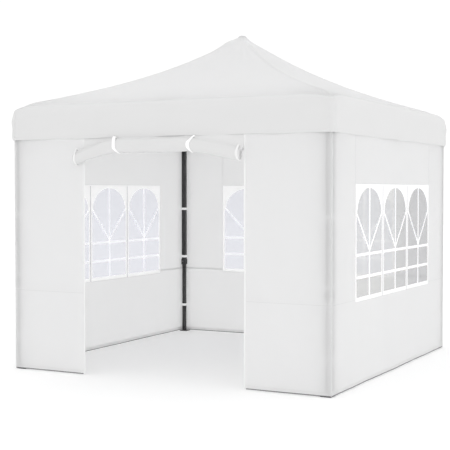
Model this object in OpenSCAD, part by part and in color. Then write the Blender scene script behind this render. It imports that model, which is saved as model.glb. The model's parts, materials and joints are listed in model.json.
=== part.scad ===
// Pop up gazebo: a square steel scissor frame on four telescopic legs, a pyramid canopy
// and four hanging walls, one of them with a doorway and a rolled-up door curtain.
// Each side of the frame is the front side turned by a quarter turn about Z.
// Millimetres, +Z up. The origin is on the ground under the peak, and the door faces -Y.

/* [Canopy] */
// Width of the canopy across the valance
canopy_w = 3000; // [2980:1:3100]
// Height of the peak above the ground
peak_z = 3000; // [2985:1:3060]
// Height at which the roof line would meet the valance if the eave were sharp
eave_z = 2292; // [2288:1:2300]
// Height of the valance hem above the ground
hem_z = 2000; // [1990:1:2100]
// Thickness of the canopy cloth
cloth_t = 2; // [1:0.5:3]
// Radius of the rounded eave
eave_r = 36; // [20:1:45]
// Rise of the roof from eave to peak at its slope by the eave
roof_rise = 445; // [430:1:460]
// Further rise of the roof, which steepens towards the peak
roof_sweep = 267; // [250:1:280]

/* [Walls] */
// Width of the tent across the walls
walls_w = 2972; // [2964:1:2980]
// Height of a wall's top edge, hidden behind the valance
wall_top = 2236; // [2150:1:2245]
// Gap between a wall's hem and the ground
wall_gap = 6; // [2:1:20]
// Thickness of the wall cloth
wall_t = 1.5; // [1:0.5:2]
// Width of the doorway
door_w = 1500; // [1000:10:1600]
// Height of the doorway under its lintel
door_h = 1990; // [1900:1:2000]
// Height of the rolled door curtain's cross section
roll_h = 122; // [80:1:126]
// Depth of the rolled door curtain's cross section
roll_d = 52; // [40:1:56]
// Left end of the rolled curtain
roll_left = -842; // [-900:1:-760]
// Right end of the rolled curtain
roll_right = 735; // [700:1:760]

/* [Legs] */
// Distance of each leg's axis from the frame's centre planes
leg_at = 1450; // [1448:1:1452]
// Outer leg's side
leg_w = 40; // [38:1:40]
// Wall of the leg tubes
leg_t = 1; // [0.8:0.1:1.5]
// Height of the outer leg's lower end
leg_z = 740; // [730:1:760]
// Inner leg's side
inner_w = 33; // [31:1:33]
// Height of the inner leg's top end with the leg drawn out
inner_top = 1310; // [1200:1:1400]
// Foot plate's thickness
foot_t = 5; // [4:0.5:6]
// Foot plate's side
foot_w = 86; // [84:1:90]
// Diameter of the peg holes in the foot plate
peg_d = 11; // [8:0.5:12]

/* [Truss] */
// Height of the upper row of pivots
pivot_top = 2250; // [2248:1:2252]
// Height of the lower row of pivots
pivot_low = 2030; // [2028:1:2032]
// Distance of a leg's pivots from its axis
leg_arm = 48; // [46:1:50]
// Distance of a mid connector's side pivots from its middle
mid_arm = 40; // [38:1:42]
// Distance of a mid connector's centre pivot from the side truss
mid_reach = 44; // [42:1:46]
// Truss bar's height
bar_h = 24; // [20:1:24]
// Truss bar's thickness
bar_t = 12; // [10:1:12]
// Wall of the truss bar tube
bar_wall = 0.8; // [0.6:0.1:1.2]
// Diameter of the pivot pins
pin_d = 6; // [5:0.5:6]

/* [Peak pole] */
// Diameter of the sliding peak pole
pole_d = 25; // [24:1:25]
// Height of the peak pole's lower end
pole_z = 2030; // [2025:1:2060]
// Height of the pole's shoulder, under its cap
pole_top = 2958; // [2930:1:2960]
// Diameter of the pole's cap
pole_cap_d = 66; // [50:1:68]
// Height of the sleeve's top
sleeve_top = 2650; // [2500:1:2700]

/* [Hidden] */
SIDES = ["front", "right", "back", "left"];
CORNERS = ["front_left", "front_right", "back_right", "back_left"];
NEAR_ENDS = ["left", "front", "right", "back"];
FAR_ENDS = ["right", "back", "left", "front"];

$fn = 48;

half_w = canopy_w / 2;
half_wall = walls_w / 2;
// Radial room between a pin and a bar that turns on it, and between a pin and its own ears
pin_play = 0.1;
ear_play = 0.05;
// Room between a press-fitted tube and the moulding that holds it
seat_play = 0.1;
// Room between a bar and the ears or pin heads beside it
side_gap = 0.5;
head_gap = 0.3;
// Ears of a fork: thickness and outer radius
ear_t = 5;
ear_r = 13;
// Pin heads
pin_head_d = 11;
pin_head_t = 2;
// Two bars that cross lie on either side of their truss plane
bar_off = bar_t / 2 + 0.5;
bar_tail = 12;
// Blocks of the moulded connectors
block_h = 38;
mid_half = 20;
mid_depth = 22;
hub_r = 24;
// Sliders and the mouldings on the outer leg
slider_w = 52;
slider_h = 54;
slide_play = 0.5;
head_w = 48;
head_bottom = 2206;
head_top = 2270;
tube_top = 2262;
collar_h = 60;
collar_lip = 15;
inner_play = 0.4;
// Press buttons
boss_r = 8;
stem_r = 4;
stem_play = 0.4;
button_r = 6.5;
button_head_t = 4;
stem_len = 11;
leg_boss_end = 31;
slider_boss_end = 41;
// Distance between a leg's height holes
hole_step = 100;
// Peg holes lie inward of the leg, off its faces
peg_near = 10;
peg_far = 42;
foot_back = 28;
// Peak pole's wall, and the solid plug under its cap
pole_wall = 1.2;
pole_plug = 20;
// Sleeve of the lower hub
sleeve_r = 16;
sleeve_bore_r = 12.9;
sleeve_foot = 2018;
hub_bore_r = 16.4;
// Square rings of the roof, from the eave to the peak
roof_rings = 9;
peak_flat = 14;
peak_shoulder = 40;
peak_round = 6;
// Points on a quarter of the eave's rounding
eave_steps = 4;

// Turns the front side to side k of the frame
module on_side(k) rotate([0, 0, 90 * k]) children();

// Moves the origin to the axis of the corner leg at the front side's near end
module at_leg() translate([-leg_at, -leg_at, 0]) children();

// Mirrors a corner's fork onto its other inward side
module both_inward() {
    children();
    mirror([1, -1, 0]) children();
}

// Roof height where the canopy's half width is w
function roof_z(w) =
    let (s = 1 - w / half_w)
    eave_z + roof_rise * s + roof_sweep * pow(s, 3);

// Where the eave's rounding runs into the roof line
arc_end = 90 - atan(roof_rise / half_w);
arc_end_w = half_w - eave_r + eave_r * cos(arc_end);
arc_z = roof_z(arc_end_w) - eave_r * sin(arc_end);
function eave_arc() = [for (i = [0:eave_steps])
    let (a = arc_end * i / eave_steps)
    [half_w - eave_r + eave_r * cos(a), arc_z + eave_r * sin(a)]];
function roof_curve() = [for (i = [1:roof_rings])
    let (w = arc_end_w - (arc_end_w - peak_shoulder) * i / roof_rings)
    [w, roof_z(w)]];

// Canopy's outer profile as [half width, height], from the hem up to the peak
function canopy_profile() = concat(
    [[half_w, hem_z]],
    eave_arc(),
    roof_curve(),
    [[2 * peak_flat, peak_z - peak_round], [peak_flat, peak_z]]
);

// The same profile, moved in by the cloth's thickness
function inner_profile() = [for (p = canopy_profile())
    [p[0] - cloth_t, p[1] - (p[1] > arc_z ? cloth_t : 0)]];

function ring(p) = [[-p[0], -p[0], p[1]], [p[0], -p[0], p[1]], [p[0], p[0], p[1]], [-p[0], p[0], p[1]]];

// Closed sheet through square rings: outer skin up, inner skin down, joined at the hem
module square_shell(outer, inner) {
    n = len(outer);
    rings = concat(outer, [for (i = [n - 1:-1:0]) inner[i]]);
    points = [for (p = rings) each ring(p)];
    skins = [for (j = [0:2 * n - 2], c = [0:3]) if (j != n - 1)
        [4 * j + c, 4 * j + 4 + c, 4 * j + 4 + (c + 1) % 4, 4 * j + (c + 1) % 4]];
    hem = [for (c = [0:3])
        let (j = 2 * n - 1)
        [4 * j + c, c, (c + 1) % 4, 4 * j + (c + 1) % 4]];
    caps = [
        [for (c = [3:-1:0]) 4 * (n - 1) + c],
        [for (c = [0:3]) 4 * n + c]
    ];
    polyhedron(points, concat(skins, hem, caps), convexity = 4);
}

module canopy() color("#eef0f2") square_shell(canopy_profile(), inner_profile());

// Wall of side k: the front and back walls run past the ends of the other two
module wall_sheet(k) {
    half = k % 2 == 0 ? half_wall : half_wall - wall_t - 0.5;
    translate([-half, -half_wall, wall_gap]) cube([2 * half, wall_t, wall_top - wall_gap]);
}

module rolled_curtain() {
    mid_z = door_h - roll_h / 2;
    mid_y = -half_wall - 1 - roll_d / 2;
    straight = roll_h - roll_d;
    translate([roll_left, mid_y, mid_z]) rotate([90, 0, 90])
        linear_extrude(roll_right - roll_left) {
            for (s = [-1, 1]) translate([0, s * straight / 2]) circle(d = roll_d);
            square([roll_d, straight], center = true);
        }
}

module wall(k) color("#eceef0") on_side(k) {
    if (k == 0) {
        difference() {
            wall_sheet(k);
            translate([-door_w / 2, -half_wall - 1, 0]) cube([door_w, wall_t + 2, door_h]);
        }
        rolled_curtain();
    } else {
        wall_sheet(k);
    }
}

// Square tube standing on z = 0
module square_tube(w, t, h) {
    difference() {
        translate([-w / 2, -w / 2, 0]) cube([w, w, h]);
        translate([t - w / 2, t - w / 2, -1]) cube([w - 2 * t, w - 2 * t, h + 2]);
    }
}

module pin(length) {
    translate([0, -length / 2, 0]) rotate([-90, 0, 0]) cylinder(d = pin_d, h = length);
    for (s = [-1, 1])
        translate([0, s * (length + pin_head_t) / 2, 0])
            rotate([90, 0, 0]) cylinder(d = pin_head_d, h = pin_head_t, center = true);
}

// Truss bar from p to q, both [x, z], in the plane y = off from the origin
module bar(p, q, off) {
    run = q - p;
    length = norm(run);
    translate([p[0], off, p[1]]) rotate([0, -atan2(run[1], run[0]), 0]) difference() {
        translate([-bar_tail, -bar_t / 2, -bar_h / 2]) cube([length + 2 * bar_tail, bar_t, bar_h]);
        translate([-bar_tail - 1, -bar_t / 2 + bar_wall, -bar_h / 2 + bar_wall])
            cube([length + 2 * bar_tail + 2, bar_t - 2 * bar_wall, bar_h - 2 * bar_wall]);
        for (x = [0, length / 2, length])
            translate([x, 0, 0]) rotate([90, 0, 0])
                cylinder(d = pin_d + 2 * pin_play, h = bar_t + 2, center = true);
    }
}

// Pin where two bars cross
module crossing_pin(p, q) {
    length = 2 * (bar_off + bar_t / 2 + head_gap);
    translate([(p[0] + q[0]) / 2, 0, (p[1] + q[1]) / 2]) pin(length);
}

// Pair of ears for a bar in the plane y = off, from x = root to the pivot at x = arm
module ears(root, arm, off) {
    for (s = [-1, 1]) {
        y = off + s * (bar_t / 2 + side_gap + ear_t / 2);
        translate([root, y - ear_t / 2, -ear_r]) cube([arm - root, ear_t, 2 * ear_r]);
        translate([arm, y, 0]) rotate([90, 0, 0]) cylinder(r = ear_r, h = ear_t, center = true);
    }
}

module ear_holes(arm, off) {
    translate([arm, off, 0]) rotate([90, 0, 0])
        cylinder(d = pin_d + 2 * ear_play, h = bar_t + 4 * ear_t, center = true);
}

module ear_pin(arm, off) {
    translate([arm, off, 0]) pin(bar_t + 2 * (side_gap + ear_t + head_gap));
}

// Connector in the middle of a side, with its pivots at z: side says which side of the
// truss planes its bars lie on
module mid_connector(z, side) {
    translate([0, -leg_at, z]) {
        difference() {
            union() {
                translate([-mid_half, -mid_depth, -block_h / 2])
                    cube([2 * mid_half, 2 * mid_depth, block_h]);
                ears(mid_half - 1, mid_arm, side * bar_off);
                mirror([1, 0, 0]) ears(mid_half - 1, mid_arm, side * bar_off);
                rotate([0, 0, 90]) ears(mid_depth - 1, mid_reach, -side * bar_off);
            }
            ear_holes(mid_arm, side * bar_off);
            ear_holes(-mid_arm, side * bar_off);
            rotate([0, 0, 90]) ear_holes(mid_reach, -side * bar_off);
        }
        ear_pin(mid_arm, side * bar_off);
        ear_pin(-mid_arm, side * bar_off);
        rotate([0, 0, 90]) ear_pin(mid_reach, -side * bar_off);
    }
}

module upper_connector(k) color("#26282b") on_side(k) mid_connector(pivot_top, 1);
module lower_connector(k) color("#26282b") on_side(k) mid_connector(pivot_low, -1);

// Ends of the front side's bars, as [x, z]
mid_low = [-mid_arm, pivot_low];
mid_high = [-mid_arm, pivot_top];
leg_low = [leg_arm - leg_at, pivot_low];
leg_high = [leg_arm - leg_at, pivot_top];

module outer_bar(k, near) color("#1d1f22") on_side(k) mirror([near ? 0 : 1, 0, 0])
    translate([0, -leg_at, 0]) {
        bar(mid_low, leg_high, -bar_off);
        crossing_pin(mid_low, leg_high);
    }

module inner_bar(k, near) color("#1d1f22") on_side(k) mirror([near ? 0 : 1, 0, 0])
    translate([0, -leg_at, 0]) bar(mid_high, leg_low, bar_off);

// Ends of the front centre truss's bars, as [distance from the centre, z]
hub_arm = leg_arm + mid_arm - mid_reach;
hub_low = [hub_arm, pivot_low];
hub_high = [hub_arm, pivot_top];
side_low = [leg_at - mid_reach, pivot_low];
side_high = [leg_at - mid_reach, pivot_top];

module upper_centre_bar(k) color("#1d1f22") on_side(k) rotate([0, 0, -90]) {
    bar(hub_high, side_low, -bar_off);
    crossing_pin(hub_high, side_low);
}

module lower_centre_bar(k) color("#1d1f22") on_side(k) rotate([0, 0, -90])
    bar(hub_low, side_high, bar_off);

// Hub block with a fork for each centre truss; off is the plane of its bars
module hub_forks(z, off) {
    translate([0, 0, z]) difference() {
        union() {
            cylinder(r = hub_r, h = block_h, center = true);
            for (k = [0:3]) rotate([0, 0, 90 * k - 90]) ears(hub_r - 8, hub_arm, off);
        }
        for (k = [0:3]) rotate([0, 0, 90 * k - 90]) ear_holes(hub_arm, off);
    }
}

module hub_pins(z, off) {
    for (k = [0:3]) translate([0, 0, z]) rotate([0, 0, 90 * k - 90]) ear_pin(hub_arm, off);
}

module upper_hub() color("#26282b") {
    difference() {
        hub_forks(pivot_top, -bar_off);
        translate([0, 0, pivot_top - block_h]) cylinder(r = hub_bore_r, h = 2 * block_h);
    }
    hub_pins(pivot_top, -bar_off);
}

module lower_hub() color("#26282b") {
    difference() {
        hub_forks(pivot_low, bar_off);
        translate([0, 0, sleeve_foot]) cylinder(r = sleeve_r + seat_play, h = block_h);
    }
    hub_pins(pivot_low, bar_off);
    translate([0, 0, sleeve_foot]) difference() {
        cylinder(r = sleeve_r, h = sleeve_top - sleeve_foot);
        translate([0, 0, -1]) cylinder(r = sleeve_bore_r, h = sleeve_top - sleeve_foot + 2);
    }
}

module peak_pole() color("#8f9499") {
    translate([0, 0, pole_z]) difference() {
        cylinder(d = pole_d, h = pole_top - pole_z);
        translate([0, 0, -1]) cylinder(d = pole_d - 2 * pole_wall, h = pole_top - pole_z - pole_plug);
    }
    translate([0, 0, pole_top]) rotate_extrude() polygon([
        [0, 0], [pole_cap_d / 2 - 3, 0], [pole_cap_d / 2, 4], [pole_cap_d / 2 - 2, 10],
        [pole_cap_d / 3, 22], [pole_cap_d / 6, 31], [pole_cap_d / 12, 35], [0, 35]
    ]);
}

// Round boss and bore for a press button along +X
module button_boss(root, end) {
    translate([root, 0, 0]) rotate([0, 90, 0]) cylinder(r = boss_r, h = end - root);
}

module button_bore(root, end) {
    translate([root, 0, 0]) rotate([0, 90, 0]) cylinder(r = stem_r + stem_play, h = end - root + 1);
}

// Press button whose head stands off the boss's end by the stroke and a little more
module press_button(boss_end) {
    stand_off = 5;
    translate([boss_end + stand_off - stem_len, 0, 0]) rotate([0, 90, 0])
        cylinder(r = stem_r, h = stem_len);
    translate([boss_end + stand_off, 0, 0]) rotate([0, 90, 0])
        cylinder(r = button_r, h = button_head_t);
}

button_z = leg_z + collar_h * 0.6;

module leg_head() {
    difference() {
        union() {
            translate([-head_w / 2, -head_w / 2, head_bottom])
                cube([head_w, head_w, head_top - head_bottom]);
            translate([0, 0, pivot_top]) both_inward() ears(head_w / 2 - 1, leg_arm, -bar_off);
        }
        cavity = leg_w + 2 * seat_play;
        translate([-cavity / 2, -cavity / 2, head_bottom - 1])
            cube([cavity, cavity, tube_top + seat_play - head_bottom + 1]);
        translate([0, 0, pivot_top]) both_inward() ear_holes(leg_arm, -bar_off);
    }
    translate([0, 0, pivot_top]) both_inward() ear_pin(leg_arm, -bar_off);
}

module leg_collar() {
    difference() {
        union() {
            translate([-head_w / 2, -head_w / 2, leg_z]) cube([head_w, head_w, collar_h]);
            translate([0, 0, button_z]) button_boss(head_w / 2 - 1, leg_boss_end);
        }
        cavity = leg_w + 2 * seat_play;
        translate([-cavity / 2, -cavity / 2, leg_z + collar_lip]) cube([cavity, cavity, collar_h]);
        bush = inner_w + 2 * inner_play;
        translate([-bush / 2, -bush / 2, leg_z - 1]) cube([bush, bush, collar_h]);
        translate([0, 0, button_z]) button_bore(leg_w / 2, leg_boss_end);
    }
}

module outer_leg(k) on_side(k) at_leg() {
    color("#1d1f22") translate([0, 0, leg_z + collar_lip + seat_play])
        square_tube(leg_w, leg_t, tube_top - leg_z - collar_lip - seat_play);
    color("#26282b") leg_head();
    color("#26282b") leg_collar();
}

module leg_button(k) color("#7d8287") on_side(k) at_leg()
    translate([0, 0, button_z]) press_button(leg_boss_end);

module inner_leg(k) on_side(k) at_leg() {
    color("#2a2c2f") difference() {
        translate([0, 0, foot_t]) square_tube(inner_w, leg_t, inner_top - foot_t);
        for (i = [0:3])
            translate([0, 0, button_z - i * hole_step]) rotate([0, 90, 0])
                cylinder(r = stem_r + stem_play, h = inner_w);
    }
    color("#2a2c2f") difference() {
        translate([-foot_back, -foot_back, 0]) cube([foot_w, foot_w, foot_t]);
        for (p = [[peg_far, peg_near], [peg_near, peg_far]])
            translate([p[0], p[1], -1]) cylinder(d = peg_d, h = foot_t + 2);
    }
}

module slider(k) color("#26282b") on_side(k) at_leg() translate([0, 0, pivot_low]) {
    difference() {
        union() {
            translate([-slider_w / 2, -slider_w / 2, -slider_h / 2])
                cube([slider_w, slider_w, slider_h]);
            both_inward() ears(slider_w / 2 - 1, leg_arm, bar_off);
            rotate([0, 0, 45]) button_boss(slider_w / 2, slider_boss_end);
        }
        bore = leg_w + 2 * slide_play;
        translate([-bore / 2, -bore / 2, -slider_h]) cube([bore, bore, 2 * slider_h]);
        both_inward() ear_holes(leg_arm, bar_off);
        rotate([0, 0, 45]) button_bore(leg_w / 2, slider_boss_end);
    }
    both_inward() ear_pin(leg_arm, bar_off);
}

module slider_latch(k) color("#7d8287") on_side(k) at_leg()
    translate([0, 0, pivot_low]) rotate([0, 0, 45]) press_button(slider_boss_end);

canopy();
upper_hub();
lower_hub();
peak_pole();
for (k = [0:3]) {
    wall(k);
    outer_leg(k);
    inner_leg(k);
    slider(k);
    slider_latch(k);
    leg_button(k);
    upper_connector(k);
    lower_connector(k);
    upper_centre_bar(k);
    lower_centre_bar(k);
    outer_bar(k, true);
    outer_bar(k, false);
    inner_bar(k, true);
    inner_bar(k, false);
}
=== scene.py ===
"""Pop up gazebo: canopy, walls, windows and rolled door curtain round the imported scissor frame. Metres."""

import json
import math

import bpy
import numpy as np
from mathutils import Matrix, Vector

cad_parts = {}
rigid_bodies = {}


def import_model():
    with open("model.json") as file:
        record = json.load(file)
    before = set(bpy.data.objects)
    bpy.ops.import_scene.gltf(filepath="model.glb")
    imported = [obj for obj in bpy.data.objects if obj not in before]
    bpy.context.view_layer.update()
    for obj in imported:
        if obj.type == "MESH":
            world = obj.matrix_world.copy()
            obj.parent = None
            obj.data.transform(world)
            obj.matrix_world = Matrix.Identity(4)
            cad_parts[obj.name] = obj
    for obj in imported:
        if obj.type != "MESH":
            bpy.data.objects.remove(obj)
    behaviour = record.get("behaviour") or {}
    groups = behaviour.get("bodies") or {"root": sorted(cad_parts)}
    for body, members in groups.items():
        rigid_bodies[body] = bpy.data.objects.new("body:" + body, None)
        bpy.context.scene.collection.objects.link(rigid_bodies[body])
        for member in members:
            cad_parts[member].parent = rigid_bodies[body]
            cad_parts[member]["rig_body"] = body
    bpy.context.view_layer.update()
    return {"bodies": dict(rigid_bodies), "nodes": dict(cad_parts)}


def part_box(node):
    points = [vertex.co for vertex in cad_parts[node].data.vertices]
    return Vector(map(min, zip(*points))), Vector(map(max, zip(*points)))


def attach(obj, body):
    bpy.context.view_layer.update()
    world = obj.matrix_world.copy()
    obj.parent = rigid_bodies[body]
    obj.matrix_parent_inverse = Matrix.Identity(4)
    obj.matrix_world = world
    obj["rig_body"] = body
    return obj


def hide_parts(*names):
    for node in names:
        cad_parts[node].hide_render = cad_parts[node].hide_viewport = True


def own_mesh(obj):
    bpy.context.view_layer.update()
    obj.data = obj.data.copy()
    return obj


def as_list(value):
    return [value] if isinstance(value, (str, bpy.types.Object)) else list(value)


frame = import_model()

TAU = 2 * math.pi
SIDES = ("front", "right", "back", "left")
CORNERS = ("front_left", "front_right", "back_right", "back_left")
CORNER_SIGNS = ((-1, -1), (1, -1), (1, 1), (-1, 1))

# Sizes read from the CAD part
canopy_lo, canopy_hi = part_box("canopy")
wall_lo, wall_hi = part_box("wall_back")
HALF, HEM, PEAK = canopy_hi.x, canopy_lo.z, canopy_hi.z
WALL, WALL_FOOT, WALL_TOP = wall_hi.y, wall_lo.z, wall_hi.z
SIDE_WALL_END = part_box("wall_right")[1].y
# Middle of a leg from the middle of the gazebo, and the legs' half widths
LEG = 1.45
OUTER_LEG_HALF, INNER_LEG_HALF = 0.020, 0.0165

# Roof line: height at the eave, rise at the eave's slope, and the steeper part by the peak
EAVE, RISE, SWEEP = 2.292, 0.445, 0.267
EAVE_R = 0.036
# Half width of the doorway, its height, and the height where the curtain is sewn on above it
DOOR, LINTEL = 0.75, 1.99
CURTAIN_TOP = LINTEL + 0.045
# Window group: three lights with arched panes, and how far apart they stand
GROUP_LOW, GROUP_TOP = 0.674, 1.616
LIGHT = 0.657
GROUP_HALF = 1.5 * LIGHT
SILL, SPRING, ARCH_RISE = 0.708, 1.375, 0.210
PANE_HALF, ARCH_HALF = 0.300, 0.286
# The walls' level seam
SEAM_Z = 0.702


# ---------------------------------------------------------------- meshes

def turn(k, x, y):
    """x, y on the front side carried to side k. k may be an array."""
    c, s = np.take((1, 0, -1, 0), k), np.take((0, 1, 0, -1), k)
    return c * x - s * y, s * x + c * y


def smooth(t):
    t = np.clip(t, 0, 1)
    return t * t * (3 - 2 * t)


class Batch:
    """Grids of points that end up as one piece."""

    def __init__(self):
        self.points, self.faces, self.marks = [], [], []

    def grid(self, rows, closed=False, mark=0, hole=None, marker=None):
        """rows is an array (row, column, 3). closed joins the last column to the first."""
        rows = np.asarray(rows, float)
        n, m = rows.shape[:2]
        base = len(self.points)
        self.points.extend(map(tuple, rows.reshape(-1, 3)))
        for i in range(n - 1):
            for j in range(m if closed else m - 1):
                if hole is not None and hole(i, j):
                    continue
                a, b = base + i * m + j, base + i * m + (j + 1) % m
                self.faces.append((a, b, b + m, a + m))
                self.marks.append(marker(i, j) if marker else mark)
        return base

    def build(self, name, materials, body, slot=None, soft=True):
        """The piece, riding on a CAD body. soft shades it smooth."""
        mesh = bpy.data.meshes.new(name)
        mesh.from_pydata(self.points, [], self.faces)
        for m in materials:
            mesh.materials.append(m)
        mesh.polygons.foreach_set("material_index", self.marks)
        mesh.polygons.foreach_set("use_smooth", [soft] * len(self.faces))
        mesh.update()
        obj = bpy.data.objects.new(name, mesh)
        bpy.context.scene.collection.objects.link(obj)
        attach(obj, body)
        return obj


def strip(batch, surface, path, width, thick, both=False, step=0.03, mark=0):
    """A flat band along path on surface(p, q, out), raised by thick, or as far behind as in front of it."""
    path = np.asarray(path, float)
    legs = np.linalg.norm(np.diff(path, axis=0), axis=1)
    at = np.concatenate([[0], np.cumsum(legs)])
    n = max(2, int(at[-1] / step) + 1)
    s = np.linspace(0, at[-1], n)
    pts = np.stack([np.interp(s, at, path[:, i]) for i in (0, 1)], 1)
    along = np.gradient(pts, axis=0)
    along /= np.linalg.norm(along, axis=1)[:, None]
    side = np.stack([-along[:, 1], along[:, 0]], 1) * width / 2
    left, right = pts + side, pts - side
    low = -thick if both else 0.0
    section = (left, low), (left, thick), (right, thick), (right, low)
    batch.grid(np.stack([surface(*edge.T, out) for edge, out in section], 1), closed=both, mark=mark)


# ---------------------------------------------------------------- materials

class Shader:
    """A node material round one Principled shader, patterned in object coordinates."""

    def __init__(self, name, colour, roughness, **inputs):
        self.mat = bpy.data.materials.new(name)
        self.mat.use_nodes = True
        self.tree = self.mat.node_tree
        self.bsdf = self.tree.nodes["Principled BSDF"]
        self.coord = self.node("ShaderNodeTexCoord").outputs["Object"]
        self.bsdf.inputs["Base Color"].default_value = (*colour, 1)
        self.bsdf.inputs["Roughness"].default_value = roughness
        self.colour = colour
        for key, value in inputs.items():
            self.bsdf.inputs[key.replace("_", " ")].default_value = value

    def node(self, kind, **settings):
        n = self.tree.nodes.new(kind)
        for key, value in settings.items():
            setattr(n, key, value)
        return n

    def link(self, a, b):
        self.tree.links.new(a, b)

    def noise(self, scale, detail=3.0, stretch=(1, 1, 1)):
        place = self.node("ShaderNodeMapping")
        place.inputs["Scale"].default_value = stretch
        self.link(self.coord, place.inputs["Vector"])
        n = self.node("ShaderNodeTexNoise")
        n.inputs["Scale"].default_value = scale
        n.inputs["Detail"].default_value = detail
        self.link(place.outputs["Vector"], n.inputs["Vector"])
        return n.outputs["Fac"]

    def mix(self, factor, a, b):
        """Blend of two colours, each a constant or another node's output."""
        mix = self.node("ShaderNodeMix", data_type="RGBA")
        self.link(factor, mix.inputs["Factor"])
        colour_sockets = [i for i in mix.inputs if i.type == "RGBA"]
        for socket, value in zip(colour_sockets, (a, b)):
            if isinstance(value, tuple):
                socket.default_value = (*value, 1)
            else:
                self.link(value, socket)
        return [o for o in mix.outputs if o.type == "RGBA"][0]

    def mottle(self, share, scale, detail=3.0, stretch=(1, 1, 1)):
        """The colour wanders by share of itself."""
        low = tuple(c * (1 - share) for c in self.colour)
        high = tuple(min(1, c * (1 + share)) for c in self.colour)
        self.link(self.mix(self.noise(scale, detail, stretch), low, high), self.bsdf.inputs["Base Color"])
        return self

    def rough(self, low, high, scale):
        spread = self.node("ShaderNodeMapRange")
        spread.inputs["To Min"].default_value = low
        spread.inputs["To Max"].default_value = high
        self.link(self.noise(scale), spread.inputs["Value"])
        self.link(spread.outputs["Result"], self.bsdf.inputs["Roughness"])
        return self

    def bump(self, height, distance, strength=1.0):
        b = self.node("ShaderNodeBump")
        b.inputs["Distance"].default_value = distance
        b.inputs["Strength"].default_value = strength
        self.link(height, b.inputs["Height"])
        before = self.bsdf.inputs["Normal"].links
        if before:
            self.link(before[0].from_socket, b.inputs["Normal"])
        self.link(b.outputs["Normal"], self.bsdf.inputs["Normal"])
        return self

    def weave(self, pitch, distance):
        """Threads that cross at right angles, level and upright on every side."""
        split = self.node("ShaderNodeSeparateXYZ")
        self.link(self.coord, split.inputs["Vector"])
        level = self.node("ShaderNodeMath", operation="ADD")
        self.link(split.outputs["X"], level.inputs[0])
        self.link(split.outputs["Y"], level.inputs[1])
        waves = []
        for source in (level.outputs["Value"], split.outputs["Z"]):
            turns = self.node("ShaderNodeMath", operation="MULTIPLY")
            turns.inputs[1].default_value = TAU / pitch
            self.link(source, turns.inputs[0])
            wave = self.node("ShaderNodeMath", operation="SINE")
            self.link(turns.outputs["Value"], wave.inputs[0])
            waves.append(wave.outputs["Value"])
        both = self.node("ShaderNodeMath", operation="ADD")
        self.link(waves[0], both.inputs[0])
        self.link(waves[1], both.inputs[1])
        return self.bump(both.outputs["Value"], distance, 0.5)

    def glow_through(self, share, tint):
        """Light from behind shows through the cloth."""
        through = self.node("ShaderNodeBsdfTranslucent")
        through.inputs["Color"].default_value = (*tint, 1)
        self.blend(through, share)
        return self

    def shine(self, strength):
        """White light of its own."""
        self.bsdf.inputs["Emission Color"].default_value = (1, 1, 1, 1)
        self.bsdf.inputs["Emission Strength"].default_value = strength

    def blend(self, other, share):
        """The surface becomes a mix of the Principled shader and a share of the other one."""
        mix = self.node("ShaderNodeMixShader")
        mix.inputs["Fac"].default_value = share
        self.link(self.bsdf.outputs["BSDF"], mix.inputs[1])
        self.link(other.outputs["BSDF"], mix.inputs[2])
        self.link(mix.outputs["Shader"], self.tree.nodes["Material Output"].inputs["Surface"])


def cloth(name, colour, through):
    s = Shader(name, colour, 0.72, Sheen_Weight=0.12, Sheen_Roughness=0.5, Specular_IOR_Level=0.3)
    s.mottle(0.012, 3.0)
    s.bump(s.noise(9.0, 4.0), 0.0035, 0.5)
    s.weave(0.0016, 0.00012)
    s.glow_through(through, colour)
    return s.mat


def tape(name, colour, through=0.0, painted_glow=0.0):
    """Woven tape; the last argument is painted light: a faint white glow of its own that lifts the tape in
    the shade.
    """
    s = Shader(name, colour, 0.45, Specular_IOR_Level=0.4)
    s.mottle(0.01, 25.0)
    s.weave(0.0012, 0.0001)
    s.shine(painted_glow)
    if through:
        s.glow_through(through, colour)
    return s.mat


def film(name):
    """Soft clear film: part haze, part a view through, and greyer towards one end of the right wall, a
    painted reflection.
    """
    s = Shader(name, (0.80, 0.80, 0.80), 0.16, Specular_IOR_Level=0.5)
    s.bump(s.noise(5.0, 2.0), 0.004, 0.4)
    split = s.node("ShaderNodeSeparateXYZ")
    s.link(s.coord, split.inputs["Vector"])
    ramps = {}
    for axis, low, high in (("X", 1.0, 1.4), ("Y", -0.4, 0.5)):
        ramp = s.node("ShaderNodeMapRange", interpolation_type="SMOOTHSTEP")
        ramp.inputs["From Min"].default_value = low
        ramp.inputs["From Max"].default_value = high
        s.link(split.outputs[axis], ramp.inputs["Value"])
        ramps[axis] = ramp.outputs["Result"]
    # Painted reflection: on the right wall the haze and the view through turn greyer, greyest towards one
    # end
    grey = s.node("ShaderNodeMath", operation="MULTIPLY")
    s.link(ramps["X"], grey.inputs[0])
    s.link(ramps["Y"], grey.inputs[1])
    clear = s.node("ShaderNodeBsdfTransparent")
    haze_tints = (0.82, 0.82, 0.84), (0.72, 0.72, 0.72), (0.61, 0.61, 0.62)
    view_tints = (0.85, 0.86, 0.92), (0.82, 0.82, 0.81), (0.70, 0.70, 0.71)
    for socket, tints in ((s.bsdf.inputs["Base Color"], haze_tints), (clear.inputs["Color"], view_tints)):
        elsewhere, right_wall, greyest = tints
        along = s.mix(grey.outputs["Value"], right_wall, greyest)
        s.link(s.mix(ramps["X"], elsewhere, along), socket)
    s.blend(clear, 0.6)
    return s.mat


def coated_steel(name):
    s = Shader(name, (0.018, 0.018, 0.019), 0.42, Metallic=0.0, Coat_Weight=0.15, Coat_Roughness=0.35)
    s.mottle(0.2, 60.0).rough(0.36, 0.5, 40.0)
    s.bump(s.noise(900.0, 2.0), 0.00012, 0.35)
    return s.mat


def moulding(name, colour, grain=500.0):
    s = Shader(name, colour, 0.5)
    s.mottle(0.12, 30.0).rough(0.42, 0.6, 80.0)
    s.bump(s.noise(grain, 3.0), 0.0002, 0.4)
    return s.mat


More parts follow.
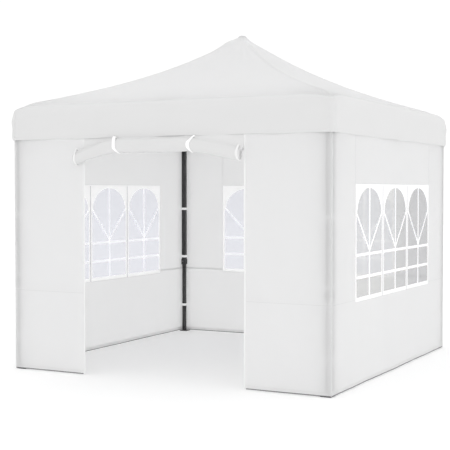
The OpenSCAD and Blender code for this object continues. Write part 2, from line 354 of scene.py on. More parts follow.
def metal(name, colour, roughness, stretch=(1, 1, 1)):
    s = Shader(name, colour, roughness, Metallic=1.0)
    s.mottle(0.06, 90.0, 3.0, stretch).rough(roughness - 0.06, roughness + 0.1, 70.0)
    s.bump(s.noise(600.0, 2.0, stretch), 0.00006, 0.4)
    return s.mat


POLYESTER, POLYESTER_THROUGH = (0.905, 0.905, 0.905), 0.41
BRIGHT_WHITE = (0.99, 0.99, 0.99)
ROOF_CLOTH = cloth("roof_cloth", POLYESTER, POLYESTER_THROUGH)
# Painted shade: the valance, its tapes and the rolled door curtain are the same polyester as the roof, made
# darker for the shade on them; it lets little light through
SHADED_CLOTH = cloth("painted_shade_cloth", (0.765, 0.765, 0.765), 0.04)
WALL_CLOTH = cloth("wall_cloth", POLYESTER, POLYESTER_THROUGH)
# Painted light: the last number of the window surround, the white tape, the bars and the gap shade is a
# faint glow of their own that lifts them in the shade
WHITE_CLOTH = tape("window_surround", BRIGHT_WHITE, 0.3, 0.16)
WHITE_TAPE = tape("white_tape", BRIGHT_WHITE, 0.0, 0.04)
BAR_TAPE = tape("window_bars", BRIGHT_WHITE, 0.3, 0.30)
PALE_TAPE = tape("pale_tape", (0.88, 0.88, 0.88))
# Painted shadow: grey strips down the gaps between the window lights stand in for the shade in those gaps
GAP_SHADE = tape("painted_gap_shade", (0.44, 0.44, 0.46), 0.0, 0.22)
STITCHES = tape("stitching", (0.72, 0.72, 0.73))
FINE_STITCHES = tape("fine_stitching", (0.82, 0.82, 0.82))
# Painted contact shadow: a dark strip along the foot of the walls stands in for the shade where they meet
# the floor
CONTACT_SHADE = tape("painted_contact_shadow", (0.20, 0.20, 0.205))
FILM = film("window_film")
STEEL = coated_steel("black_powder_coat")
NYLON = moulding("black_nylon", (0.022, 0.022, 0.024))
BUTTON = moulding("button_nylon", (0.16, 0.16, 0.17))
ZINC = metal("zinc_pin", (0.62, 0.63, 0.65), 0.34)
POLE = metal("pole_metal", (0.72, 0.73, 0.74), 0.3, (1, 1, 0.1))


# ---------------------------------------------------------------- folding

def hook(obj, body, weights):
    """Vertices follow a CAD body by their weight. At rest it changes nothing."""
    group = obj.vertex_groups.new(name=body)
    for i in np.nonzero(weights > 1e-4)[0]:
        group.add([int(i)], float(weights[i]), "REPLACE")
    mod = obj.modifiers.new(body, "HOOK")
    mod.object = frame["bodies"][body]
    mod.vertex_group = group.name
    mod.falloff_type = "NONE"
    mod.matrix_inverse = Matrix.Identity(4)


# The cloth out to this line fans in between the legs. Beyond it, it stays with the nearest leg
LEG_LINE = WALL - 0.024
# Depth of a pleat, as a share of the legs' travel, and its width in the open cloth
PLEAT, PLEAT_PITCH = 0.022, LEG_LINE / 5
# How much further out the folded valance stays than the walls, as a share of the legs' travel
VALANCE_CLEAR = 0.0028


def gather(obj):
    """Cloth draws together in pleats as the frame folds, and the roof sinks with the peak pole."""
    co = np.array([v.co for v in obj.data.vertices], float).reshape(-1, 3)
    x, y, z = co.T
    w = np.maximum(abs(x), abs(y))
    faces_y = abs(y) >= abs(x)
    along = np.where(faces_y, x, y)
    fan = np.clip(along * WALL / np.clip(w, 0.02, WALL), -LEG_LINE, LEG_LINE)
    pleat = PLEAT * (0.5 - 0.5 * np.cos(TAU * fan / PLEAT_PITCH)) * smooth((w - 0.2) / 1.1)
    on_roof = obj["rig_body"] == "upper_hub"
    reach = 1 - VALANCE_CLEAR if on_roof else 1
    u, v = (np.clip(n / LEG_LINE, -reach, reach) * np.where(out, 1 - pleat, 1)
            for n, out in ((x, ~faces_y), (y, faces_y)))
    for corner, (sx, sy) in zip(CORNERS, CORNER_SIGNS):
        hook(obj, f"outer_leg_{corner}", (1 + sx * u) * (1 + sy * v) / 4)
    if on_roof:
        height = np.clip((z - EAVE) / (PEAK - EAVE), 0, 1)
        bunch = 0.05 - 0.05 * np.cos(TAU * fan / PLEAT_PITCH)
        hook(obj, "peak_pole", 0.98 * height * (1 - bunch * smooth((w - 0.05) / 0.35)))
    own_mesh(obj)
    return obj


# ---------------------------------------------------------------- canopy

ARC_END = math.pi / 2 - math.atan(RISE / HALF)
SIDE_STEPS, CORNER_STEPS = 100, 6
# How fast the shape of the shoulder fades along the side
FAR_FROM_CORNER = 0.11
# How far the valance stands out at its corners, by the share of its drop
SHOULDER = ((0, 0.0), (0.15, 0.011), (0.33, 0.021), (0.58, 0.013), (0.88, 0.017), (1, 0.010))
# How far in the hem of the valance stands
TUCK = 0.009


def roof(w):
    """Height of the roof at a half width."""
    s = 1 - w / HALF
    return EAVE + RISE * s + SWEEP * s**3


ARC_W = HALF - EAVE_R + EAVE_R * math.cos(ARC_END)
ARC_Z = roof(ARC_W) - EAVE_R * math.sin(ARC_END)
# The cloth over the peak pole's cap, as half width and height, dimpled in the middle
CAP_LINE = ((0.008, -0.0035), (0.015, 0.0), (0.022, -0.002), (0.030, -0.008), (0.039, -0.017),
            (0.050, -0.029), (0.065, -0.045), (0.085, -0.063), (0.107, -0.0805))
SLOPE_START = 0.128


def canopy_rows():
    """Rows of the canopy from the peak down to the hem: half width, height, share of the valance."""
    cap = [(w, PEAK + dz, 0.0) for w, dz in CAP_LINE]
    slope = [(w, roof(w), 0.0) for w in np.linspace(SLOPE_START, ARC_W, 46)]
    arc = [(HALF - EAVE_R + EAVE_R * math.cos(a), ARC_Z + EAVE_R * math.sin(a), 0.0)
           for a in np.linspace(ARC_END, 0, 7)[1:]]
    fall = [(HALF, ARC_Z + (HEM - ARC_Z) * t, t) for t in np.linspace(0, 1, 15)[1:]]
    return cap + slope + arc + fall


def corner_radius(w, t):
    """Round over the pole's cap, close to square from there out, and soft again at the eave's corners."""
    return w + (0.010 - w) * smooth((w - 0.034) / 0.11) + (0.022 - 0.014 * t) * smooth((w - 1.3) / 0.18)


def by_corner(a, c):
    """1 at a corner of the square, falling to 0 along the side."""
    return np.exp(-(np.maximum(c - abs(a), 0) / FAR_FROM_CORNER) ** 2)


def shoulder_drop(a, c, t):
    """The eave is lower at its corners, where the cloth bends over the leg's head."""
    return 0.026 * by_corner(a, c) * smooth((c - 1.35) / 0.13) * (1 - t)


def shoulder_out(a, c, t):
    """The valance stands out round the leg's head."""
    return by_corner(a, c) * np.interp(t, *zip(*SHOULDER))


def roof_ripple(k, a, c):
    """Height that tension and slack add to the roof of side k, at a along it and c out from the middle."""
    u = a / np.maximum(c, 0.01)
    free = 1 - abs(u) ** 5
    sag = -0.008 * free * np.sin(math.pi * np.clip(c / HALF, 0, 1))
    dx, dy = HALF - abs(a), HALF - c
    d, bearing = np.hypot(dx, dy), np.arctan2(dx, dy + 1e-9)
    pull = 0.0032 * np.exp(-d / 0.4) * np.cos(15 * (bearing - math.pi / 4)) * np.clip(d / 0.12, 0, 1)
    crown = 0.0020 * np.exp(-c / 0.3) * np.cos(8 * math.pi * u) * smooth((c - 0.1) / 0.15)
    slack = 0.0016 * np.sin(TAU * (a / 0.43 + 0.31 * k)) * np.sin(TAU * (c / 0.52 + 0.17 * k))
    near_eave = 0.0018 * np.sin(TAU * (a / 0.29 + 0.23 * k)) * smooth((c - 1.2) / 0.25)
    fade = smooth((c - 0.08) / 0.1) * smooth((HALF + 0.002 - c) / 0.05)
    return fade * (sag + pull + crown + free * (slack + near_eave))


def peak_fullness(x, y, w):
    """The cloth runs fuller off the pole's cap over one hip."""
    off_hip = np.exp(-((x - y) / (0.6 * w)) ** 2) * smooth(-(x + y) / w)
    return 0.026 * np.exp(-((w - 0.105) / 0.055) ** 2) * off_hip


def valance_out(k, a, t):
    """Outward wave of the valance of side k, growing towards its hem."""
    free = 1 - np.clip(abs(a) / HALF, 0, 1) ** 8
    long_wave = 0.0028 * np.sin(TAU * (a / 0.74 + 0.37 * k + 0.1))
    short_wave = 0.0010 * np.sin(TAU * (a / 0.31 + 0.19 * k))
    return free * np.clip(t, 0, 1) ** 1.3 * (long_wave + short_wave) - TUCK * t


def valance_rise(k, a, t):
    """Wave of the valance's hem in height."""
    free = 1 - np.clip(abs(a) / HALF, 0, 1) ** 8
    return free * t * (0.0028 * np.sin(TAU * (a / 0.61 + 0.29 * k)) + 0.002)


def canopy_point(k, f, bend, row, out=0.0):
    """A point of the canopy on side k: f runs from -1 to 1 along it, then bend rounds the corner."""
    w, z, t = row
    r = corner_radius(w, t)
    a, c = f * (w - r) + r * np.sin(bend), (w - r) + r * np.cos(bend)
    lift = out if t == 0 and w < HALF - 0.02 else 0.0
    push = valance_out(k, a, t) * np.cos(bend) + shoulder_out(a, c, t) + (out - lift)
    x, y = turn(k, a + push * np.sin(bend), -(c + push * np.cos(bend)))
    rise = roof_ripple(k, a, c) + valance_rise(k, a, t) - shoulder_drop(a, c, t) + peak_fullness(x, y, w)
    return np.stack(np.broadcast_arrays(x, y, z + rise + lift), -1)


def valance_point(k, a, z, out):
    """A point of the valance of side k, raised from the cloth by out."""
    t = np.clip((ARC_Z - z) / (ARC_Z - HEM), 0, 1)
    x, y = turn(k, a, -(HALF + valance_out(k, a, t) + shoulder_out(a, HALF, t) + out))
    return np.stack(np.broadcast_arrays(x, y, z + valance_rise(k, a, t) - shoulder_drop(a, HALF, t)), -1)


def canopy_sheet():
    batch = Batch()
    straight = np.linspace(-1, 1, SIDE_STEPS + 1)
    curve = np.linspace(0, math.pi / 2, CORNER_STEPS + 1)[1:-1]
    sides = np.repeat(np.arange(4), len(straight) + len(curve))
    f = np.tile(np.concatenate([straight, np.ones(len(curve))]), 4)
    bend = np.tile(np.concatenate([np.zeros(len(straight)), curve]), 4)
    shape = canopy_rows()[::-1]
    rows = [canopy_point(sides, f, bend, row) for row in shape]
    # Painted shade: the valance's rows take the darker cloth
    batch.grid(rows, closed=True, marker=lambda i, j: int(shape[i + 1][0] > ARC_W))
    m = len(rows[0])
    inner = len(batch.points) - m
    batch.points.append((0, 0, PEAK - 0.0055))
    for j in range(m):
        batch.faces.append((inner + j, inner + (j + 1) % m, len(batch.points) - 1))
        batch.marks.append(0)
    return batch.build("canopy_sheet", [ROOF_CLOTH, SHADED_CLOTH], "upper_hub", "canopy_cloth")


# Hip and corner tapes, and the stitching near their edges
TAPE_HALF, TAPE_THICK = 0.012, 0.0005
SEAM_IN, THREAD_HALF = 0.003, 0.0008
TAPE_START = 0.13


def canopy_trim():
    """Tapes down the hips and corners, the hem's fold and the stitching."""
    trim, thread = Batch(), Batch()
    curve = np.linspace(0, math.pi / 2, 5)
    on_slope = sum(TAPE_START <= row[0] <= ARC_W for row in canopy_rows())
    for k in range(4):
        nxt = (k + 1) % 4
        rows, lines = [], {k: [], nxt: []}
        for row in canopy_rows():
            if row[0] < TAPE_START:
                continue
            span = row[0] - corner_radius(row[0], row[2])
            edge, seam = 1 - TAPE_HALF / span, 1 - (TAPE_HALF - SEAM_IN) / span
            rows.append(np.concatenate([
                [canopy_point(k, edge, 0.0, row), canopy_point(k, edge, 0.0, row, TAPE_THICK)],
                canopy_point(k, 1.0, curve, row, TAPE_THICK),
                [canopy_point(nxt, -edge, 0.0, row, TAPE_THICK), canopy_point(nxt, -edge, 0.0, row)]]))
            for side, s in ((k, 1), (nxt, -1)) if row[2] == 0 else ():
                wide = THREAD_HALF / span
                lines[side].append([canopy_point(side, s * (seam + d), 0.0, row, TAPE_THICK + 0.0005)
                                    for d in (-wide, wide)])
        # Painted shade: down the valance the tapes take the darker cloth
        trim.grid(rows, marker=lambda i, j: int(i >= on_slope))
        for line in lines.values():
            thread.grid(line)

        def face(a, z, out, k=k):
            return valance_point(k, a, z, out)

        span = HALF - TAPE_HALF - 0.012
        # Painted shade: the hem's fold takes the darker cloth
        strip(trim, face, [(-span, HEM + 0.013), (span, HEM + 0.013)], 0.026, TAPE_THICK, mark=1)
    return [
        gather(trim.build("canopy_seam_tapes", [ROOF_CLOTH, SHADED_CLOTH], "upper_hub", "canopy_cloth",
                          soft=False)),
        gather(thread.build("canopy_stitching", [FINE_STITCHES], "upper_hub", soft=False)),
    ]


canopy = gather(canopy_sheet())
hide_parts("canopy")
canopy_trim()


# ---------------------------------------------------------------- walls

def half_width(k):
    return WALL if k % 2 == 0 else SIDE_WALL_END


def wall_body(k):
    return f"upper_connector_{SIDES[k]}"


def wall_out(k, x, z):
    """Outward bulge of wall k's cloth: soft upright folds that grow towards the hem."""
    free = np.clip((WALL - abs(x)) / 0.25, 0, 1)
    low = np.clip((1.95 - z) / 1.9, 0, 1)
    folds = (0.0024 * np.sin(TAU * (x / 1.13 + 0.27 * k) + 0.4)
             + 0.0014 * np.sin(TAU * (x / 0.47 + 0.37 * k) + 1.1 * z)
             + 0.0008 * np.sin(TAU * (x / 0.21 + 0.16 * k) + 0.8 * z))
    sway = 0.0022 * np.sin(TAU * (z / 1.35 + 0.2 * k) + 1.9 * x)
    glazed = smooth((1.15 - abs(x)) / 0.25) * smooth((z - 0.55) / 0.2) * smooth((1.75 - z) / 0.2)
    calm = 1 - (0.65 * glazed if k else 0)
    return free * calm * (low**0.7 * folds + low * sway)


def wall_point(k, x, z, out):
    """A point of wall k at x along it, raised from the cloth by out."""
    px, py = turn(k, x, -(WALL + wall_out(k, x, z) + out))
    return np.stack(np.broadcast_arrays(px, py, z), -1)


def surface_of(k):
    return lambda x, z, out: wall_point(k, x, z, out)


def nearest_light(x):
    return LIGHT * np.clip(np.round(x / LIGHT), -1, 1)


def pane_top(x):
    """Height of the top edge of the pane at x."""
    dx = abs(x - nearest_light(x))
    return SPRING + ARCH_RISE * np.sqrt(np.clip(1 - (dx / ARCH_HALF) ** 2, 0, 1))


def pane_columns(centre):
    """Places across a pane, closer together where its arch falls steeply."""
    n = 22
    arch = centre - ARCH_HALF * np.cos(math.pi * np.arange(n + 1) / n)
    return np.concatenate([[centre - PANE_HALF], arch, [centre + PANE_HALF]])


# Level bars of a pane, and the height where its two slanted bars meet
BAR_HEIGHTS = (1.048, 0.867)
V_FOOT = 1.072


def window_wall(k):
    """A wall with three arched lights: the cloth and the white surround, open where the panes are."""
    flank = np.append(np.linspace(GROUP_HALF, LEG_LINE, 13), half_width(k))
    xs = [-flank[::-1]]
    for n in (-1, 0, 1):
        xs += [pane_columns(n * LIGHT), [(n + 0.5) * LIGHT]]
    xs = np.concatenate(xs + [flank[1:]])
    low = np.concatenate([np.linspace(WALL_FOOT, GROUP_LOW, 14), [SILL]])
    panes, spandrel = np.linspace(0, 1, 13)[1:], np.linspace(0, 1, 7)[1:]
    high = np.linspace(GROUP_TOP, WALL_TOP, 13)[1:]
    top = pane_top(xs)
    zs = np.array([np.full(len(xs), z) for z in low] + [SILL + (top - SILL) * t for t in panes]
                  + [top + (GROUP_TOP - top) * t for t in spandrel] + [np.full(len(xs), z) for z in high])
    first_pane, first_arch = len(low) - 1, len(low) - 1 + len(panes)
    last = first_arch + len(spandrel)
    middle = (xs[1:] + xs[:-1]) / 2
    in_pane = abs(middle - nearest_light(middle)) < PANE_HALF
    in_group = abs(middle) < GROUP_HALF

    def hole(i, j):
        return first_pane <= i < first_arch and in_pane[j]

    def marker(i, j):
        return int(in_group[j] and first_pane - 1 <= i < last)

    batch = Batch()
    batch.grid(wall_point(k, xs[None, :], zs, 0.0), hole=hole, marker=marker)
    body = wall_body(k)
    wall = batch.build(f"wall_{SIDES[k]}_sheet", [WALL_CLOTH, WHITE_CLOTH], body, "wall_cloth")
    glass, bars, gap_shadows = Batch(), Batch(), Batch()
    face = surface_of(k)
    for n in (-1, 0, 1):
        centre = n * LIGHT
        cols = pane_columns(centre)
        t = np.linspace(0, 1, 13)[:, None]
        glass.grid(wall_point(k, cols[None, :], SILL + (pane_top(cols) - SILL)[None, :] * t, 0.0))
        left, right = centre - PANE_HALF, centre + PANE_HALF
        arch_top = SPRING + ARCH_RISE
        lines = (([(centre, SILL), (centre, arch_top)], 0.024),
                 *(([(left, z), (right, z)], 0.022) for z in BAR_HEIGHTS),
                 *(([(side, SPRING + 0.004), (centre, V_FOOT)], 0.018) for side in (left, right)))
        for i, (path, width) in enumerate(lines):
            # Each bar is a little thicker than the last, so that no two faces lie in one plane
            strip(bars, face, path, width, 0.0012 + 0.0001 * i, both=True)
    # Painted shadow: a grey strip down each gap between two lights
    for n in (-0.5, 0.5):
        x = n * LIGHT
        strip(gap_shadows, face, [(x, GROUP_LOW), (x, GROUP_TOP - 0.008)], 0.013, 0.0009, both=True)
    return wall, [
        glass.build(f"wall_{SIDES[k]}_panes", [FILM], body),
        bars.build(f"wall_{SIDES[k]}_muntins", [BAR_TAPE], body, soft=False),
        gap_shadows.build(f"wall_{SIDES[k]}_painted_gap_shadows", [GAP_SHADE], body, soft=False),
    ]


def door_wall():
    """The front wall: cloth on either side of the doorway and a lintel over it."""
    flank = np.append(np.linspace(DOOR, LEG_LINE, 21), WALL)
    xs = np.concatenate([-flank[::-1], np.linspace(-DOOR, DOOR, 41)[1:-1], flank])
    zs = np.concatenate([np.linspace(WALL_FOOT, LINTEL, 44), np.linspace(LINTEL, WALL_TOP, 6)[1:]])
    middle_x, middle_z = (xs[1:] + xs[:-1]) / 2, (zs[1:] + zs[:-1]) / 2
    batch = Batch()
    batch.grid(wall_point(0, xs[None, :], zs[:, None], 0.0),
               hole=lambda i, j: abs(middle_x[j]) < DOOR and middle_z[i] < LINTEL)
    wall = batch.build("wall_front_sheet", [WALL_CLOTH], wall_body(0), "wall_cloth")
    piping = Batch()
    for s in (-1, 1):
        edge = s * (DOOR + 0.0065)
        strip(piping, surface_of(0), [(edge, WALL_FOOT), (edge, LINTEL + 0.05)], 0.015, 0.0016, both=True)
    return wall, [piping.build("door_piping", [PALE_TAPE], wall_body(0), soft=False)]


def wall_trim(k):
    """Hem, level seam, seams from the windows' corners to the roof, stitching, and a painted contact shadow:
    a dark strip along the wall's foot.
    """
    cloth_strips, thread, fine, foot = Batch(), Batch(), Batch(), Batch()
    face = surface_of(k)
    end = half_width(k) - 0.004
    inner = DOOR + 0.018 if k == 0 else 0.0
    seam_from = inner if k == 0 else GROUP_HALF + 0.002
    for s in (-1, 1):
        for batch, start, z, width, thick, both in (
                (cloth_strips, inner, WALL_FOOT + 0.020, 0.026, 0.0007, False),
                (fine, inner, WALL_FOOT + 0.030, 0.0016, 0.0011, False),
                # Painted contact shadow along the wall's foot
                (foot, inner, WALL_FOOT + 0.0035, 0.007, 0.0014, True),
                (cloth_strips, seam_from, SEAM_Z, 0.016, 0.0009, False),
                (fine, seam_from, SEAM_Z - 0.007, 0.0035, 0.0013, False)):
            strip(batch, face, [(s * start, z), (s * end, z)], width, thick, both)
        if k:
            x = s * GROUP_HALF
            strip(thread, face, [(x, GROUP_TOP + 0.004), (x, HEM + 0.1)], 0.0035, 0.0009)
            strip(thread, face, [(x, GROUP_LOW), (x, GROUP_TOP)], 0.0025, 0.0009, both=True)
    if k:
        for z in (GROUP_LOW, GROUP_TOP):
            strip(thread, face, [(-GROUP_HALF, z), (GROUP_HALF, z)], 0.0025, 0.0009, both=True)
    body = wall_body(k)
    window_edges = [thread.build(f"wall_{SIDES[k]}_stitching", [STITCHES], body, soft=False)] if k else []
    return window_edges + [
        cloth_strips.build(f"wall_{SIDES[k]}_hem_and_seams", [WALL_CLOTH], body, "wall_cloth", soft=False),
        fine.build(f"wall_{SIDES[k]}_hem_stitching", [FINE_STITCHES], body, soft=False),
        foot.build(f"wall_{SIDES[k]}_painted_contact_shadow", [CONTACT_SHADE], body, soft=False),
    ]


def corner_zip(k):
    """The zip that joins wall k to the next one: a tape round the corner with a coil down its middle."""
    nxt = (k + 1) % 4
    z = np.linspace(WALL_FOOT + 0.01, WALL_TOP - 0.03, 60)
    edge, bend, coil = WALL - 0.02, WALL - 0.002, WALL - 0.010
    low, out = 0.0004, 0.0012
    batch = Batch()
    corner = np.stack(np.broadcast_arrays(*turn(k, WALL + out, -(WALL + out)), z), -1)
    section = (edge, low), (edge, out), (bend, out)
    batch.grid(np.stack([*(wall_point(k, x, z, d) for x, d in section), corner,
                         *(wall_point(nxt, -x, z, d) for x, d in section[::-1])], 1))
    strip(batch, surface_of(k), [(coil, z[0]), (coil, z[-1])], 0.004, 0.0018)
    return batch.build(f"corner_zip_{CORNERS[nxt]}", [WALL_CLOTH], wall_body(k), soft=False)


# ---------------------------------------------------------------- rolled door curtain

ROLL_LEFT, ROLL_RIGHT = -0.842, 0.735
ROLL_Y, ROLL_Z = -(WALL + 0.0285), 1.930
# Half depth and half height of the roll, and how often the curtain winds in it
ROLL_DEEP, ROLL_HIGH, ROLL_TURNS = 0.0245, 0.060, 13
# The loops round the roll: place, swing to the right at the foot and at the top, half width
TIES = ((-0.822, 0.016, 0.012, 0.010), (-0.427, 0.048, -0.002, 0.016),
        (0.272, 0.038, 0.052, 0.016), (0.708, 0.018, 0.014, 0.012))
# Where the curtain hangs, just in front of the wall
CURTAIN_Y = -(WALL + 0.0012)


def roll_middle(x):
    """Height of the roll's middle: level between the inner ties, and drooping past them."""
    left = np.clip((-0.44 - x) / 0.42, 0, 1.1) ** 1.35
    right = np.clip((x - 0.26) / 0.46, 0, 1.1) ** 1.35
    return ROLL_Z - 0.108 * left - 0.080 * right


def roll_scale(x):
    """The roll's thickness: pinched under the loops, uneven, and smaller at its ends."""
    pinch = sum(np.exp(-((x - tie[0]) / 0.035) ** 2) for tie in TIES)
    by_end = np.maximum(x - ROLL_RIGHT, ROLL_LEFT - x) / 0.03 + 1
    uneven = 0.025 * np.sin(TAU * x / 0.52 + 0.8)
    return (1 - 0.05 * pinch + uneven) * (1 - 0.25 * np.clip(by_end, 0, 1) ** 2)


def roll_section(x, angle, size):
    """A point of the roll at x, at an angle from its front up over the top, for a share of its size."""
    long_crease, short_crease = np.sin(TAU * x / 0.19 + 2 * angle), np.sin(TAU * x / 0.083 + 3 * angle)
    crease = 1 + size**3 * (0.022 * long_crease + 0.012 * short_crease)
    high = ROLL_HIGH * size * roll_scale(x) * crease
    deep = ROLL_DEEP * size * crease * np.sqrt(roll_scale(x))
    y, z = ROLL_Y - deep * np.cos(angle), roll_middle(x) + high * np.sin(angle)
    return np.stack(np.broadcast_arrays(x, y, z), -1)


def door_curtain():
    """One sheet from the lintel down over the front of the roll, under it and into a spiral."""
    turns = np.linspace(0, 1, ROLL_TURNS * 26)
    size = 1 - 0.93 * turns
    xs = np.concatenate([ROLL_LEFT + np.array((0, 0.006, 0.014)),
                         np.linspace(ROLL_LEFT + 0.025, ROLL_RIGHT - 0.025, 60),
                         ROLL_RIGHT - np.array((0.014, 0.006, 0))])
    # The angle where the hanging cloth touches the roll
    behind = (-ROLL_Y - WALL) / (ROLL_DEEP * np.sqrt(roll_scale(xs)))
    above = (CURTAIN_TOP - roll_middle(xs)) / (ROLL_HIGH * roll_scale(xs))
    touch = np.arctan2(behind, above) + np.arcsin(1 / np.hypot(behind, above))
    angle = touch[:, None] - TAU * ROLL_TURNS * turns[None, :]
    spiral = roll_section(xs[:, None], angle, size[None, :])
    top = spiral[:, 0]
    across = np.linspace(-DOOR - 0.002, DOOR + 0.002, len(xs))
    start = np.stack([across, np.full(len(xs), CURTAIN_Y), np.full(len(xs), CURTAIN_TOP)], 1)
    hang = []
    # Steep enough to be only 5% of the way forward where it comes out below the valance's hem
    passing = np.log(0.05) / np.log((start[:, 2] - HEM) / (start[:, 2] - top[:, 2]))
    for t in np.linspace(0, 1, 10)[:-1]:
        forward = t ** np.maximum(2.4 + 1.1 * smooth((abs(xs) - 0.58) / 0.15), passing)
        share = np.stack([np.full(len(xs), t**6), forward, np.full(len(xs), t)], 1)
        hang.append(start + (top - start) * share)
    cloth_rows = np.concatenate([np.stack(hang, 1), spiral], 1)
    batch = Batch()
    batch.grid(cloth_rows)
    # Painted shade: the curtain takes the darker cloth
    curtain = gather(batch.build("door_curtain", [SHADED_CLOTH], wall_body(0), "wall_cloth"))
    curtain_edges(xs, hang, top)
    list(curtain_ties())


def curtain_edges(xs, hang, top):
    """Cloth that closes the hanging part back to the wall at both sides, and the roll's ends."""
    closing = Batch()
    around = np.linspace(0, TAU, 33)
    for end in (0, -1):
        edge = np.array([h[end] for h in hang] + [top[end]])
        behind_edge = edge.copy()
        behind_edge[:, 1] = CURTAIN_Y
        closing.grid(np.stack([edge, behind_edge]))
        closing.grid([roll_section(xs[end], around, 1.0), roll_section(xs[end], around, 0.02)])
    # The roll's ends take the plain wall cloth, lighter than the roll's painted shade, which lifts the shade
    # at its ends
    return gather(closing.build("curtain_edges", [WALL_CLOTH], wall_body(0), "wall_cloth"))


def curtain_ties():
    """Loops round the roll, each swung a little to one side at its ends."""
    ties = []
    angle = np.linspace(0, TAU, 49)[:-1]
    rise = np.sin(angle)
    for n, (at, swing_low, swing_high, wide) in enumerate(TIES):
        x0 = at + np.where(rise < 0, swing_low, swing_high) * abs(rise) ** 2.2
        rows = []
        for side, out in ((-1, 1.02), (-1, 1.075), (-0.6, 1.09), (0.6, 1.09), (1, 1.075), (1, 1.02)):
            half = wide * (1 - 0.6 * np.where((rise > 0) & (n == 1), 0.0, rise**2))
            rows.append(roll_section(x0 + side * half, angle, out * (1 + 0.2 * np.clip(rise, 0, 1) ** 3)))
        batch = Batch()
        batch.grid(rows, closed=True)
        finish = WHITE_TAPE if n in (1, 2) else PALE_TAPE
        ties.append(gather(batch.build(f"curtain_tie_{n + 1}", [finish], wall_body(0))))
    return ties


# ---------------------------------------------------------------- straps that hold the walls to the legs

STRAP_HEIGHTS = (1.36, 0.83, 0.29)
# Section of a strap: height from its middle, and distance from the leg
STRAP_HALF = 0.0125
STRAP_SECTION = ((-STRAP_HALF, 0.0012), (-STRAP_HALF, 0.0024), (-0.011, 0.0028),
                 (0.011, 0.0028), (STRAP_HALF, 0.0024), (STRAP_HALF, 0.0012))
# How square a strap's run round the leg is, and how much of the leg's slide the lowest straps follow
SQUARENESS, SLIDE_SHARE = 30, 0.615
# Section of the tab: half thickness, height from its middle
TAB_THICK = 0.0008
TAB_SECTION = ((-TAB_THICK, -STRAP_HALF), (-TAB_THICK, STRAP_HALF),
               (TAB_THICK, STRAP_HALF), (TAB_THICK, -STRAP_HALF))


def leg_straps():
    """Hook-and-loop straps round each leg, with a tab out to the walls' corner."""
    angle = np.linspace(0, TAU, 65)[:-1]
    c, s = np.cos(angle), np.sin(angle)
    square = (abs(c) ** SQUARENESS + abs(s) ** SQUARENESS) ** (-1 / SQUARENESS)
    for corner, (sx, sy) in zip(CORNERS, CORNER_SIGNS):
        for z in STRAP_HEIGHTS:
            on_inner_leg = z < 0.5
            leg = INNER_LEG_HALF if on_inner_leg else OUTER_LEG_HALF
            rows = []
            for dz, out in STRAP_SECTION:
                r = leg + out
                x, y = sx * LEG + r * c * square, sy * LEG + r * s * square
                rows.append(np.stack(np.broadcast_arrays(x, y, z + dz), -1))
            batch = Batch()
            batch.grid(rows, closed=True)
            out_to_wall = np.linspace(LEG + leg, WALL - 0.003, 5)
            tab = [[(sx * (d + side), sy * (d - side), z + dz) for d in out_to_wall]
                   for side, dz in TAB_SECTION]
            batch.grid(np.stack(tab, 1), closed=True)
            name = f"leg_strap_{corner}_{int(z * 100)}"
            strap = batch.build(name, [WHITE_TAPE], f"outer_leg_{corner}", soft=False)
            if on_inner_leg:
                hook(strap, f"inner_leg_{corner}", np.full(len(strap.data.vertices), SLIDE_SHARE))


leg_straps()
for k in range(4):
    wall, parts = door_wall() if k == 0 else window_wall(k)
    parts += [*wall_trim(k), corner_zip(k)]
    for piece in [wall, *parts]:
        gather(piece)
    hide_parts(f"wall_{SIDES[k]}")
    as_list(parts)
door_curtain()


# ---------------------------------------------------------------- finish of the CAD parts

def loose_parts(mesh):
    """For each face, the three sizes, shortest first, of the separate solid that it belongs to."""
    co = np.array([v.co for v in mesh.vertices])
    keys, index = {}, []
    for p in np.round(co, 5):
        index.append(keys.setdefault(tuple(p), len(keys)))
    owner = list(range(len(keys)))

    def root(a):
        while owner[a] != a:
            owner[a] = owner[owner[a]]
            a = owner[a]
        return a

    for f in mesh.polygons:
        ids = [index[i] for i in f.vertices]
        for b in ids[1:]:
            owner[root(b)] = root(ids[0])
    owner = np.array([root(index[i]) for i in range(len(co))])
    size = {}
    for r in np.unique(owner):
        own = co[owner == r]
        size[r] = sorted(own.max(0) - own.min(0))
    return [size[owner[f.vertices[0]]] for f in mesh.polygons]


def finish_of(name):
    """Materials of a node's long solids and of its blocks."""
    if name == "peak_pole":
        return POLE, NYLON
    if name.startswith(("slider_latch", "leg_button")):
        return BUTTON, BUTTON
    if "bar" in name or "outer_leg" in name or "inner_leg" in name:
        return STEEL, NYLON
    return NYLON, NYLON


# Above this height the peak pole is its cap. Smaller solids than a pin's size are pins, longer ones tubes
POLE_SHOULDER = 2.957
PIN_LENGTH, PIN_WIDTH, TUBE_LENGTH = 0.032, 0.012, 0.4


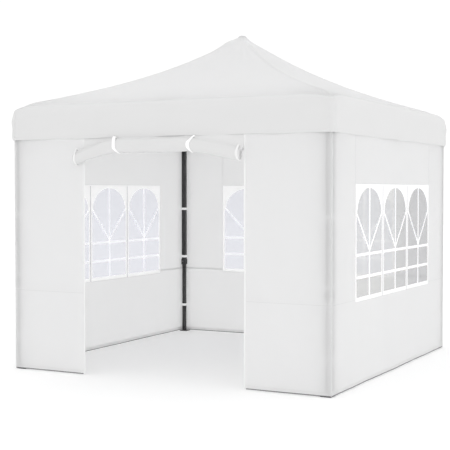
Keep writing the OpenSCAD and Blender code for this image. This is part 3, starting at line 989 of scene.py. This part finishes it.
def dress(name, obj):
    """Gives each solid of a CAD node its own finish: long tubes steel, blocks nylon, small pins zinc."""
    mesh = obj.data
    long_finish, block_finish = finish_of(name)
    mesh.materials.clear()
    for m in (long_finish, block_finish, ZINC):
        mesh.materials.append(m)
    for face, (_, width, length) in zip(mesh.polygons, loose_parts(mesh)):
        if length < PIN_LENGTH and width < PIN_WIDTH:
            face.material_index = 2
        elif length > TUBE_LENGTH and not (name == "peak_pole" and face.center.z > POLE_SHOULDER):
            face.material_index = 0
        else:
            face.material_index = 1


for name, obj in frame["nodes"].items():
    if not obj.hide_render:
        dress(name, obj)


# ---------------------------------------------------------------- stage, light and camera

def floor():
    mesh = bpy.data.meshes.new("floor")
    r = 40.0
    mesh.from_pydata([(-r, -r, 0), (r, -r, 0), (r, r, 0), (-r, r, 0)], [], [(0, 1, 2, 3)])
    # A little light of its own keeps the floor as pale as the photo's ground
    paper = Shader("floor", (0.985, 0.985, 0.985), 0.9, Specular_IOR_Level=0.05)
    paper.shine(0.06)
    mesh.materials.append(paper.mat)
    obj = bpy.data.objects.new("floor", mesh)
    bpy.context.scene.collection.objects.link(obj)


def softbox(name, at, aim, size, power):
    light = bpy.data.lights.new(name, "AREA")
    light.size, light.energy = size, power
    obj = bpy.data.objects.new(name, light)
    obj.location = at
    obj.rotation_euler = (Vector(aim) - Vector(at)).to_track_quat("-Z", "Y").to_euler()
    obj.visible_camera = False
    bpy.context.scene.collection.objects.link(obj)


# Degrees
TILT_DOWN, TURN = 1.826, 27.4


def camera():
    """Looks from the front right at a little under eye height, slightly down."""
    data = bpy.data.cameras.new("camera")
    data.lens, data.sensor_width = 86.3, 36
    data.clip_end = 200
    obj = bpy.data.objects.new("camera", data)
    obj.location = (4.493, -9.027, 1.562)
    obj.rotation_euler = (math.radians(90 - TILT_DOWN), 0, math.radians(TURN))
    bpy.context.scene.collection.objects.link(obj)
    bpy.context.scene.camera = obj


def sky(strength):
    world = bpy.data.worlds.new("studio")
    world.use_nodes = True
    back = world.node_tree.nodes["Background"]
    back.inputs["Color"].default_value = (1, 1, 1, 1)
    back.inputs["Strength"].default_value = strength
    bpy.context.scene.world = world


floor()
sky(1.05)
softbox("key", (9.0, -1.5, 5.0), (0, 0, 1.0), 5.0, 22)
camera()
bpy.context.scene.view_settings.view_transform = "Standard"
